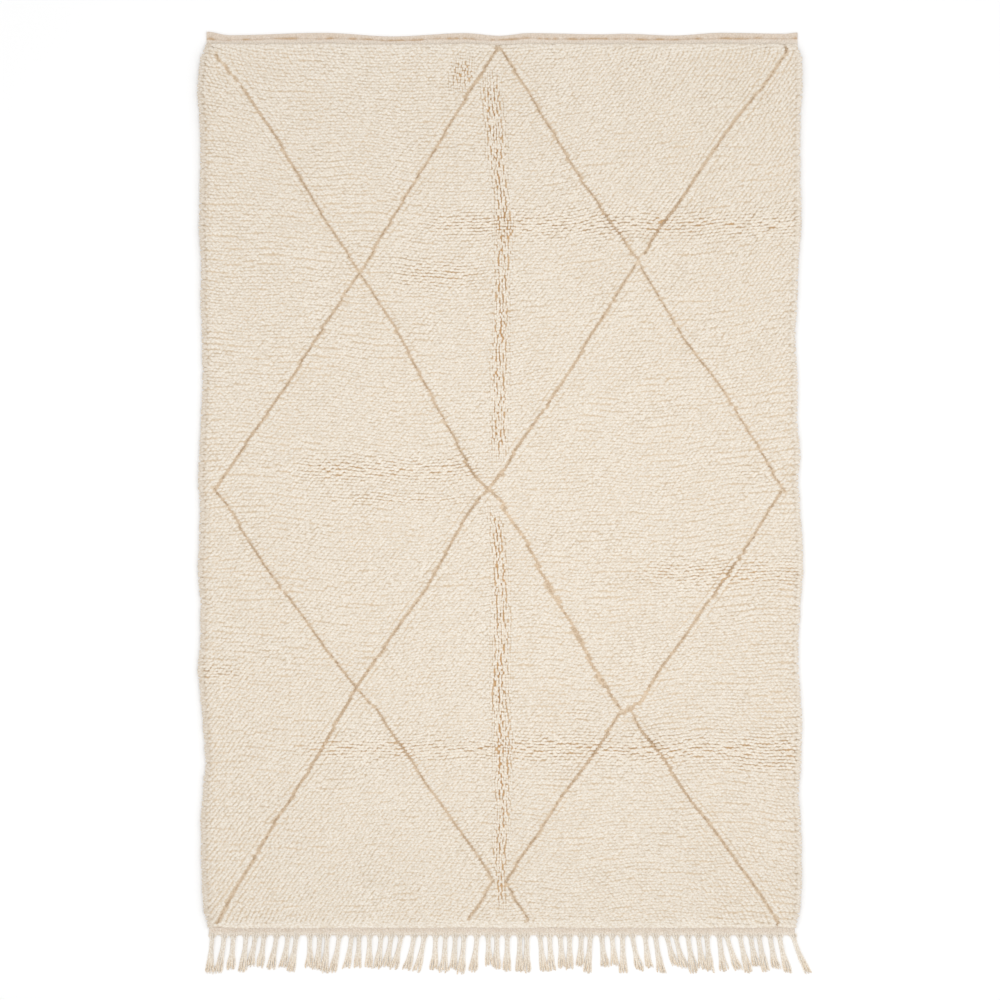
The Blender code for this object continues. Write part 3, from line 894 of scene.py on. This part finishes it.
def add_ramp(tree, value, stops):
    """A colour that goes by a value, through stops of a value and a colour."""
    ramp = tree.nodes.new("ShaderNodeValToRGB")
    tree.links.new(value, ramp.inputs["Fac"])
    while len(ramp.color_ramp.elements) < len(stops):
        ramp.color_ramp.elements.new(1)
    for element, (place, colour) in zip(ramp.color_ramp.elements, stops):
        element.position = place
        element.color = colour
    return ramp.outputs["Color"]


def grey(value):
    return (value, value, value, 1)


# Painted shade between the fibres and between the ends of the yarns, darker and warmer.
FIBRE_GAP_SHADE = (0.95, 0.935, 0.91, 1)
END_GAP_SHADE = (0.85, 0.80, 0.73, 1)


def dyed_wool(name, wool, tones, fibre_pitch, lump_size):
    """Wool whose colour goes by depth, darker and warmer deeper in, mostly as painted shade, with
    yarns of slightly unlike tones, fine fibres with painted shade between them, and lumps where
    the ends or turns of the yarns show, with painted shade between the lumps."""
    stops = [(depth, seen_colour(*seen)) for depth, *seen in wool]
    material, shader, tree = add_wool(name, roughness=0.9, sheen=0.25)
    set_inputs(shader, {"Sheen Tint": stops[0][1]})
    shades = tree.nodes.new("ShaderNodeAttribute")
    shades.attribute_name = "wool"
    parts = tree.nodes.new("ShaderNodeSeparateColor")
    tree.links.new(shades.outputs["Color"], parts.inputs["Color"])
    shade_by_depth = add_ramp(tree, parts.outputs["Red"], stops)
    by_tone = add_ramp(tree, parts.outputs["Green"], list(enumerate(tones)))
    place = tree.nodes.new("ShaderNodeTexCoord").outputs["Object"]
    fibres = tree.nodes.new("ShaderNodeTexNoise")
    set_inputs(fibres, {"Scale": 1 / fibre_pitch, "Detail": 3})
    tree.links.new(place, fibres.inputs["Vector"])
    fibre = fibres.outputs["Fac"]
    fibre_shade = add_ramp(tree, fibre, [(0.3, FIBRE_GAP_SHADE), (0.7, grey(1))])
    spread = tree.nodes.new("ShaderNodeMapping")
    set_inputs(spread, {"Scale": [1 / size for size in lump_size]})
    tree.links.new(place, spread.inputs["Vector"])
    lumps = tree.nodes.new("ShaderNodeTexVoronoi")
    set_inputs(lumps, {"Scale": 1})
    tree.links.new(spread.outputs["Vector"], lumps.inputs["Vector"])
    lump_shade = add_ramp(tree, lumps.outputs["Distance"], [(0.25, grey(1)), (0.80, END_GAP_SHADE)])
    coloured = multiply(tree, multiply(tree, shade_by_depth, by_tone), fibre_shade)
    tree.links.new(multiply(tree, coloured, lump_shade), shader.inputs["Base Color"])
    relief = multiply(tree, fibre, lump_shade)
    add_bump(tree, shader, relief, strength=0.35, distance=0.5 * MM)
    return material


# The colours of each wool as (depth, red, green, blue), from its tips to deep in it: its own
# colour at the tips, and deeper in darker and warmer, mostly painted shade and partly the
# wool's own warmer colour.
CREAM_WOOL_AND_SHADE = [
    (0.00, 248, 243, 235), (0.25, 243, 234, 221), (0.50, 236, 219, 196),
    (0.75, 232, 197, 153), (1.00, 223, 175, 122),
]
BROWN_WOOL_AND_SHADE = [(0.00, 238, 226, 210), (0.50, 228, 207, 181), (1.00, 204, 169, 129)]
DARK_KNOTS = (0.62, 0.53, 0.44, 1)
PALE_KNOTS = (1, 0.95, 0.89, 1)
END_SIZE = (7.5 * MM, 5.0 * MM, 14 * MM)
# The dull end of the cream tones, for the tufts' own tones at random and for painted shade.
DULL_TONE_AND_SHADE = (0.80, 0.77, 0.74, 1)
FIBRE_PITCH = 1.6 * MM
cream_wool = dyed_wool("cream_wool", CREAM_WOOL_AND_SHADE, (DULL_TONE_AND_SHADE, grey(1)), FIBRE_PITCH, END_SIZE)
brown_wool = dyed_wool("brown_wool", BROWN_WOOL_AND_SHADE, (DARK_KNOTS, PALE_KNOTS), FIBRE_PITCH, END_SIZE)

cream = np.flatnonzero(~brown)
for number, chosen in enumerate(np.array_split(cream, CREAM_PIECES)):
    name = f"cream_pile_{number + 1}"
    add_piece(name, tuft_mesh(name, chosen), cream_wool, "pile_field")
lines = tuft_mesh("lozenge_lines", np.flatnonzero(brown))
add_piece("lozenge_lines", lines, brown_wool, "pile_field")
add_piece("packed_wool", pack_wool(), cream_wool, "pile_field")


# Heading
# -------
# The flat-woven band at the head of the rug. Its outer edge is turned over into a thick
# hem, sewn down along a groove, and a woven ridge lies between the groove and the pile.

HEAD_RIGHT = 0.983
SEAM_GAP = 0.0003
HEAD_STATION = 2.2 * MM
WEAVE_RELIEF = 0.28 * MM
HEM_RELIEF = 0.45 * MM
HEM_SLANT = 9
GROOVE = 0.54  # of the width, where the groove lies
GROOVE_SWAY = 0.030
SWAY_WAVE = 0.043
GROOVE_RIPPLE = 0.020
RIPPLE_WAVE = 0.017
GROOVE_DIPS = 0.12  # at the left end
DIP_LENGTH = 0.05
FLECK_PITCH = 0.013
FLECK_SHADE = 0.4
FLECKED_FROM = 0.4  # of the warm painted shade, from which the band is flecked
HEM_WRAP = 5.2 * MM  # from one wrap of the hem to the next
HEM_FROM = 0.62

# The section of the band, in points (out, up, warm_shade). out is the share of its width,
# counted from the pile, up is in millimetres, and warm_shade is how far its colour goes to a
# darker tan: painted shade, most in the groove, less over the hem and under the band.
HEAD_SECTION = [
    (0.00, 0.0, 0.1), (0.00, 6.0, 0.1), (0.12, 6.0, 0.0), (0.24, 5.6, 0.1), (0.34, 5.6, 0.1),
    (0.44, 5.7, 0.2), (0.50, 4.8, 0.5), (0.54, 3.8, 0.9), (0.58, 4.6, 0.7), (0.65, 6.2, 0.45),
    (0.74, 7.0, 0.35), (0.84, 7.0, 0.3), (0.92, 6.0, 0.25), (0.98, 4.2, 0.2), (1.00, 2.3, 0.3),
    (0.98, 0.7, 0.5), (0.94, 0.0, 0.5),
]


def station_places(first, last, pitch):
    return np.linspace(first, last, round((last - first) / pitch) + 1)


def tube_faces(stations, ring):
    """The faces that join each ring of points to the next, each as its four corners."""
    this = np.arange(ring)
    after = (this + 1) % ring
    strip = np.stack([this, after, after + ring, this + ring], axis=1)
    return (np.arange(stations - 1)[:, None, None] * ring + strip).reshape(-1, 4)


def sweep(name, points, depth):
    """A closed body from an array of rings of points: stations, points of a ring, places."""
    stations, ring = depth.shape
    mesh = bpy.data.meshes.new(name)
    add_faces(mesh, points.reshape(-1, 3), tube_faces(stations, ring))
    tones = draw.uniform(0, 1, depth.shape)
    add_shades(mesh, depth.ravel(), tones.ravel())
    bm = bmesh.new()
    bm.from_mesh(mesh)
    close_up(bm)
    paint = bm.loops.layers.uv.new("OFBake")
    for face in bm.faces:
        for loop in face.loops:
            station, place = divmod(loop.vert.index, ring)
            wraps = place == 0 and any(v.index % ring == ring - 1 for v in face.verts)
            loop[paint].uv = (station / (stations - 1), (ring if wraps else place) / ring)
    bm.to_mesh(mesh)
    bm.free()
    return mesh


def lay_band(section, stations):
    """The three columns of a section, the points it takes along a band, and its weave."""
    out, up, warm_shade = np.array(section).T
    points = np.zeros((len(stations), len(out), 3))
    points[:, :, 0] = CENTRE_X + stations[:, None]
    over_under = (-1.0) ** (np.arange(len(stations))[:, None] + np.arange(len(out)))
    return out, up * MM, warm_shade, points, over_under


def weave_heading():
    stations = station_places(-HEAD_LEFT, HEAD_RIGHT, HEAD_STATION)
    width = read_between(HEADING, "reach", stations)
    out, up, warm_shade, points, over_under = lay_band(HEAD_SECTION, stations)
    sway = GROOVE_SWAY * np.sin(stations / SWAY_WAVE)
    ripple = GROOVE_RIPPLE * np.sin(stations / RIPPLE_WAVE + 2)
    dip = GROOVE_DIPS * np.exp(-(((stations + HEAD_LEFT) / DIP_LENGTH) ** 2))
    wander = (sway + ripple - dip)[:, None]
    # Only the section near the groove wanders with it.
    place = out + wander * np.clip(1.3 - 3 * np.abs(out - GROOVE), 0, 1)
    points[:, :, 1] = HEAD_Y + SEAM_GAP + place * (width[:, None] - SEAM_GAP)
    wraps = np.sin(2 * math.pi * stations[:, None] / HEM_WRAP + HEM_SLANT * out)
    hem = (out > HEM_FROM) & (up > 0)
    relief = np.where(hem, HEM_RELIEF * wraps, WEAVE_RELIEF * over_under)
    points[:, :, 2] = up + np.where(up > 0, relief, 0)
    points[:, :, 1] += np.where(out == 1, HEM_RELIEF * wraps, 0)
    spots = np.arange(-1, 1, FLECK_PITCH)
    shades = draw.uniform(-FLECK_SHADE, FLECK_SHADE, len(spots))
    flecks = np.interp(stations, spots, shades)[:, None] * (warm_shade > FLECKED_FROM)
    return sweep("heading", points, np.clip(warm_shade + flecks, 0, 1))


# The band's wool by warm_shade: its own colour, then darker and warmer as painted shade.
BEIGE_WOOL_AND_SHADE = [
    (0.00, 245, 237, 227), (0.30, 235, 222, 209),
    (0.60, 227, 211, 195), (1.00, 212, 184, 152),
]
BEIGE_TWILL = (5.0 * MM, 3.4 * MM, 14 * MM)
BEIGE_TONES = (grey(0.86), grey(1))
BEIGE_FIBRES = 2.0 * MM
beige_wool = dyed_wool("beige_wool", BEIGE_WOOL_AND_SHADE, BEIGE_TONES, BEIGE_FIBRES, BEIGE_TWILL)
heading = add_piece("heading", weave_heading(), beige_wool, "head_band")


# Foot strip
# ----------
# The narrow flat-woven strip at the foot of the rug, of the same wool as the heading. It is
# a little lower along its middle, where painted shade makes it darker and warmer, and the
# warps leave it in bunches.

FOOT_LEFT = 0.961
FOOT_RIGHT = 0.974
FOOT_STRIP = 0.028
FOOT_STATION = 2.4 * MM
FOOT_FLECKS = 0.15
# Its section as in the heading, with painted shade, most under the strip and along its middle.
FOOT_SECTION = [
    (0.00, 0.0, 0.3), (0.00, 6.0, 0.1), (0.12, 6.0, 0.1), (0.26, 5.6, 0.15), (0.38, 5.2, 0.2),
    (0.50, 4.8, 0.2), (0.62, 5.2, 0.1), (0.74, 5.7, 0.0), (0.88, 5.2, 0.0), (0.97, 4.4, 0.0),
    (1.00, 3.0, 0.1), (0.99, 0.0, 0.4),
]


def weave_foot():
    stations = station_places(-FOOT_LEFT, FOOT_RIGHT, FOOT_STATION)
    out, up, warm_shade, points, over_under = lay_band(FOOT_SECTION, stations)
    points[:, :, 1] = FOOT_Y - SEAM_GAP - out * (FOOT_STRIP - SEAM_GAP)
    points[:, :, 2] = up + np.where(up > 0, WEAVE_RELIEF * over_under, 0)
    flecks = draw.uniform(-FOOT_FLECKS, FOOT_FLECKS, (len(stations), 1)) * (warm_shade > 0.1)
    return sweep("foot_strip", points, np.clip(warm_shade + flecks, 0, 1))


foot_strip = add_piece("foot_strip", weave_foot(), beige_wool, "foot_fringe")


# Fringe
# ------
# The warps, gathered in bunches and plied in two strands each. The yarns of a bunch lie
# close together for a third of their length, in two layers, and then fan out on the floor.

BUNCHES = 56
FIRST_BUNCH = -0.946
LAST_BUNCH = 0.962
BUNCH_STRAYS = 0.006
LEAN_VARIES = 0.014
FAN_HALF = 0.0118
FAN_GAP = -0.0035  # bunches that touch lie over each other so far
YARN_AT_TIP = 0.0045  # the width of one
SPREAD_PASSES = 60
FRINGE_SEED = 21
YARNS_A_BUNCH = 6
FRINGE_LENGTH = 0.113
LENGTH_VARIES = 0.012
YARN_VARIES = 0.005
YARN_INSIDE = 0.008  # how far a yarn runs into the strip
YARN_RADIUS = 2.45 * MM
NECK_PITCH = 4.1 * MM
LAYER_RISE = 3.3 * MM
ROOT_FLARE = 1.25
ROOT_FLARE_LENGTH = 7 * MM
FAN_FROM = 0.36  # of the length, where the yarns begin to fan out
LEAN_CURVE = 1.3
PLY_TURN = 13 * MM
PLY_RELIEF = 0.32
YARN_STATION = 2.8 * MM
YARN_SIDES = 6
YARN_SWAY = (0.5 * MM, 2.4 * MM)
YARN_WAVE = 0.011
ANY_TURN = 6  # radians, about a full turn
FAN_VARIES = 0.1
SETTLES_FROM = 0.35  # of the length, where the upper layer sinks to the floor
SETTLES_OVER = 0.4
TAPERS_FROM = 0.93
TAPERS_BY = 0.35
FLOOR_CLEAR = 0.1 * MM
# How much painted shade, darker and warmer, each part of a yarn gets.
UNDERSIDE_SHADE = 0.25  # how deep in the wool the underside of a yarn looks
PLY_GROOVE_SHADE = 0.3  # and the groove between its strands
PLY_GROOVE_SHADE_IN_FAN = 0.35
LOWER_LAYER_SHADE = 0.3  # and the lower layer

LEANS = as_table(
    "across lean",
    (-946, -16), (-905, -22), (-836, -13), (-640, -8), (-406, -16), (-260, -18), (-155, -14),
    (-30, -2), (83, 6), (305, -4), (430, 18), (556, 17), (665, 20), (775, 34), (873, 30),
    (962, 38),
)


def spread_apart(places, least):
    """Moves neighbours apart until each pair is at least so far apart."""
    for _ in range(SPREAD_PASSES):
        for n in range(len(places) - 1):
            short = least - (places[n + 1] - places[n])
            if short > 0:
                places[n] -= short / 2
                places[n + 1] += short / 2
    return places


def bunch_places():
    """Where each bunch leaves the strip and where its end lies, across the rug."""
    stray = random.Random(FRINGE_SEED)
    roots, ends = [], []
    for n in range(BUNCHES):
        place = FIRST_BUNCH + (LAST_BUNCH - FIRST_BUNCH) * n / (BUNCHES - 1)
        bunch_root = place + stray.uniform(-BUNCH_STRAYS, BUNCH_STRAYS)
        aside = float(read_between(LEANS, "lean", place))
        roots.append(bunch_root)
        ends.append(bunch_root + aside + stray.uniform(-LEAN_VARIES, LEAN_VARIES))
    return roots, spread_apart(ends, 2 * FAN_HALF + YARN_AT_TIP + FAN_GAP)


def yarn_rings(bunch_root, bunch_end, number, length, own):
    """The rings of points of one plied yarn, from inside the strip to its free end."""
    stations = round((FRINGE_LENGTH + YARN_INSIDE) / YARN_STATION) + 1
    share = np.linspace(0, 1, stations)
    out = share * (length + YARN_INSIDE) - YARN_INSIDE
    fan = ease((share - FAN_FROM) / (1 - FAN_FROM))
    layer = number % 2
    spot = 2 * number / (YARNS_A_BUNCH - 1) - 1
    in_neck = (number // 2 - 1) * NECK_PITCH + (layer - 0.5) * NECK_PITCH / 2
    flare = 1 + ROOT_FLARE * np.exp(-((out / ROOT_FLARE_LENGTH) ** 2))
    middle = bunch_root + (bunch_end - bunch_root) * np.clip(share, 0, 1) ** LEAN_CURVE
    sway = own.uniform(*YARN_SWAY) * np.sin(out / YARN_WAVE + own.uniform(0, ANY_TURN)) * fan
    in_fan = spot * FAN_HALF * own.uniform(1 - FAN_VARIES, 1 + FAN_VARIES)
    x = middle + in_neck * flare * (1 - fan) + in_fan * fan + sway
    rise = layer * LAYER_RISE * (1 - ease((share - SETTLES_FROM) / SETTLES_OVER))
    radius = YARN_RADIUS * (1 - TAPERS_BY * ease((share - TAPERS_FROM) / (1 - TAPERS_FROM)))
    angle = 2 * math.pi * np.arange(YARN_SIDES) / YARN_SIDES
    ply = 2 * math.pi * out / PLY_TURN + own.uniform(0, ANY_TURN)
    lobes = 1 + PLY_RELIEF * np.cos(2 * (angle - ply[:, None]))
    rings = np.zeros((stations, YARN_SIDES, 3))
    rings[:, :, 0] = CENTRE_X + x[:, None] + radius[:, None] * lobes * np.cos(angle)
    rings[:, :, 1] = (FOOT_Y - FOOT_STRIP - out)[:, None]
    height = (YARN_RADIUS + rise)[:, None] + radius[:, None] * lobes * np.sin(angle)
    rings[:, :, 2] = np.maximum(height, FLOOR_CLEAR)
    # Painted shade, darker and warmer: on the underside, in the groove between the strands, and on
    # the lower layer in the fan.
    under = (1 - np.sin(angle)) / 2
    between = (1 - np.cos(2 * (angle - ply[:, None]))) / 2
    ply_shade = PLY_GROOVE_SHADE + PLY_GROOVE_SHADE_IN_FAN * fan[:, None]
    low = LOWER_LAYER_SHADE * (1 - layer) * fan[:, None]
    depth = UNDERSIDE_SHADE * under + ply_shade * between + low
    return rings, np.clip(depth, 0, 1)


def yarn_mesh(name, yarns):
    """One mesh of many yarns, each a closed tube."""
    count = len(yarns)
    stations = yarns[0][0].shape[0]
    mesh = bpy.data.meshes.new(name)
    last = (stations - 1) * YARN_SIDES
    caps = np.array([[0, 3, 2, 1], [0, 5, 4, 3], [last, last + 1, last + 2, last + 3]])
    caps = np.vstack([caps, [[last, last + 3, last + 4, last + 5]]])
    one = np.vstack([tube_faces(stations, YARN_SIDES), caps])
    a_yarn = stations * YARN_SIDES
    faces = (np.arange(count)[:, None, None] * a_yarn + one[None]).reshape(-1, 4)
    points = np.concatenate([rings.reshape(-1, 3) for rings, _ in yarns])
    add_faces(mesh, points, faces)
    depth = np.concatenate([shades.ravel() for _, shades in yarns])
    tones = np.repeat(draw.uniform(0, 1, count), a_yarn)
    add_shades(mesh, depth, tones)
    place = np.arange(count * a_yarn)
    column = place // a_yarn + (place % YARN_SIDES + 0.5) / YARN_SIDES
    line = place % a_yarn // YARN_SIDES / (stations - 1)
    spread_paint(mesh, np.stack([column / count, line], axis=1), faces)
    return mesh


def ply_fringe():
    own = random.Random(FRINGE_SEED + 1)
    yarns = []
    for bunch_root, bunch_end in zip(*bunch_places()):
        length = FRINGE_LENGTH + own.uniform(-LENGTH_VARIES, LENGTH_VARIES)
        for number in range(YARNS_A_BUNCH):
            yarn_length = length + own.uniform(-YARN_VARIES, YARN_VARIES)
            yarns.append(yarn_rings(bunch_root, bunch_end, number, yarn_length, own))
    return yarns


# The yarns' wool by depth: its own colour, then darker and warmer as painted shade.
YARN_WOOL_AND_SHADE = [(0.00, 253, 249, 243), (0.40, 251, 243, 231), (1.00, 241, 215, 182)]
YARN_BEADS = (4.5 * MM, 6.5 * MM, 14 * MM)
YARN_TONES = (grey(0.92), grey(1))
YARN_FIBRES = 1.0 * MM
yarn_wool = dyed_wool("yarn_wool", YARN_WOOL_AND_SHADE, YARN_TONES, YARN_FIBRES, YARN_BEADS)
yarns = ply_fringe()
half = len(yarns) // 2
for name, its_yarns in (("fringe_left", yarns[:half]), ("fringe_right", yarns[half:])):
    mesh = yarn_mesh(name, its_yarns)
    add_piece(name, mesh, yarn_wool, "foot_fringe")


# Floor, light and camera
# -----------------------
# The rug lies on a plain white floor under soft studio light, and the camera looks
# straight down at it.

FLOOR_HALF = 15
FLOOR_GAP = 0.2 * MM
FLOOR_WHITE = grey(0.97)
STUDIO_LIGHT = 0.96
VIEW_WIDTH = 3.3058  # of floor across the picture
VIEW_DOWN = 1.5018  # from the pile's head edge to the middle of the picture
VIEW_ACROSS = 0.0003
LENS = 85
SENSOR = 36
LAMP_POWER = 18
LAMP_SIZE = 1.8
LAMP_ACROSS = 0.30
LAMP_DOWN = 1.70
LAMP_HEIGHT = 3.0

bm = bmesh.new()
bmesh.ops.create_grid(bm, x_segments=1, y_segments=1, size=FLOOR_HALF)
floor_mesh = mesh_from(bm, "floor")
floor_paint, floor_shader, _ = add_wool("floor_paint", roughness=0.9, sheen=0)
set_inputs(floor_shader, {"Base Color": FLOOR_WHITE})
floor_mesh.materials.append(floor_paint)
floor = put_in_scene("floor", floor_mesh, (0, 0, -FLOOR_GAP))

world = bpy.data.worlds.new("studio")
world.use_nodes = True
set_inputs(world.node_tree.nodes["Background"], {"Color": grey(1), "Strength": STUDIO_LIGHT})
bpy.context.scene.world = world

lamp = bpy.data.lights.new("softbox", "AREA")
lamp.energy = LAMP_POWER
lamp.size = LAMP_SIZE
put_in_scene("softbox", lamp, (CENTRE_X + LAMP_ACROSS, HEAD_Y - LAMP_DOWN, LAMP_HEIGHT))

lens = bpy.data.cameras.new("camera")
lens.lens = LENS
lens.sensor_width = SENSOR
view_spot = (CENTRE_X + VIEW_ACROSS, HEAD_Y - VIEW_DOWN, VIEW_WIDTH * LENS / SENSOR)
bpy.context.scene.camera = put_in_scene("camera", lens, view_spot)
bpy.context.scene.view_settings.view_transform = "Standard"
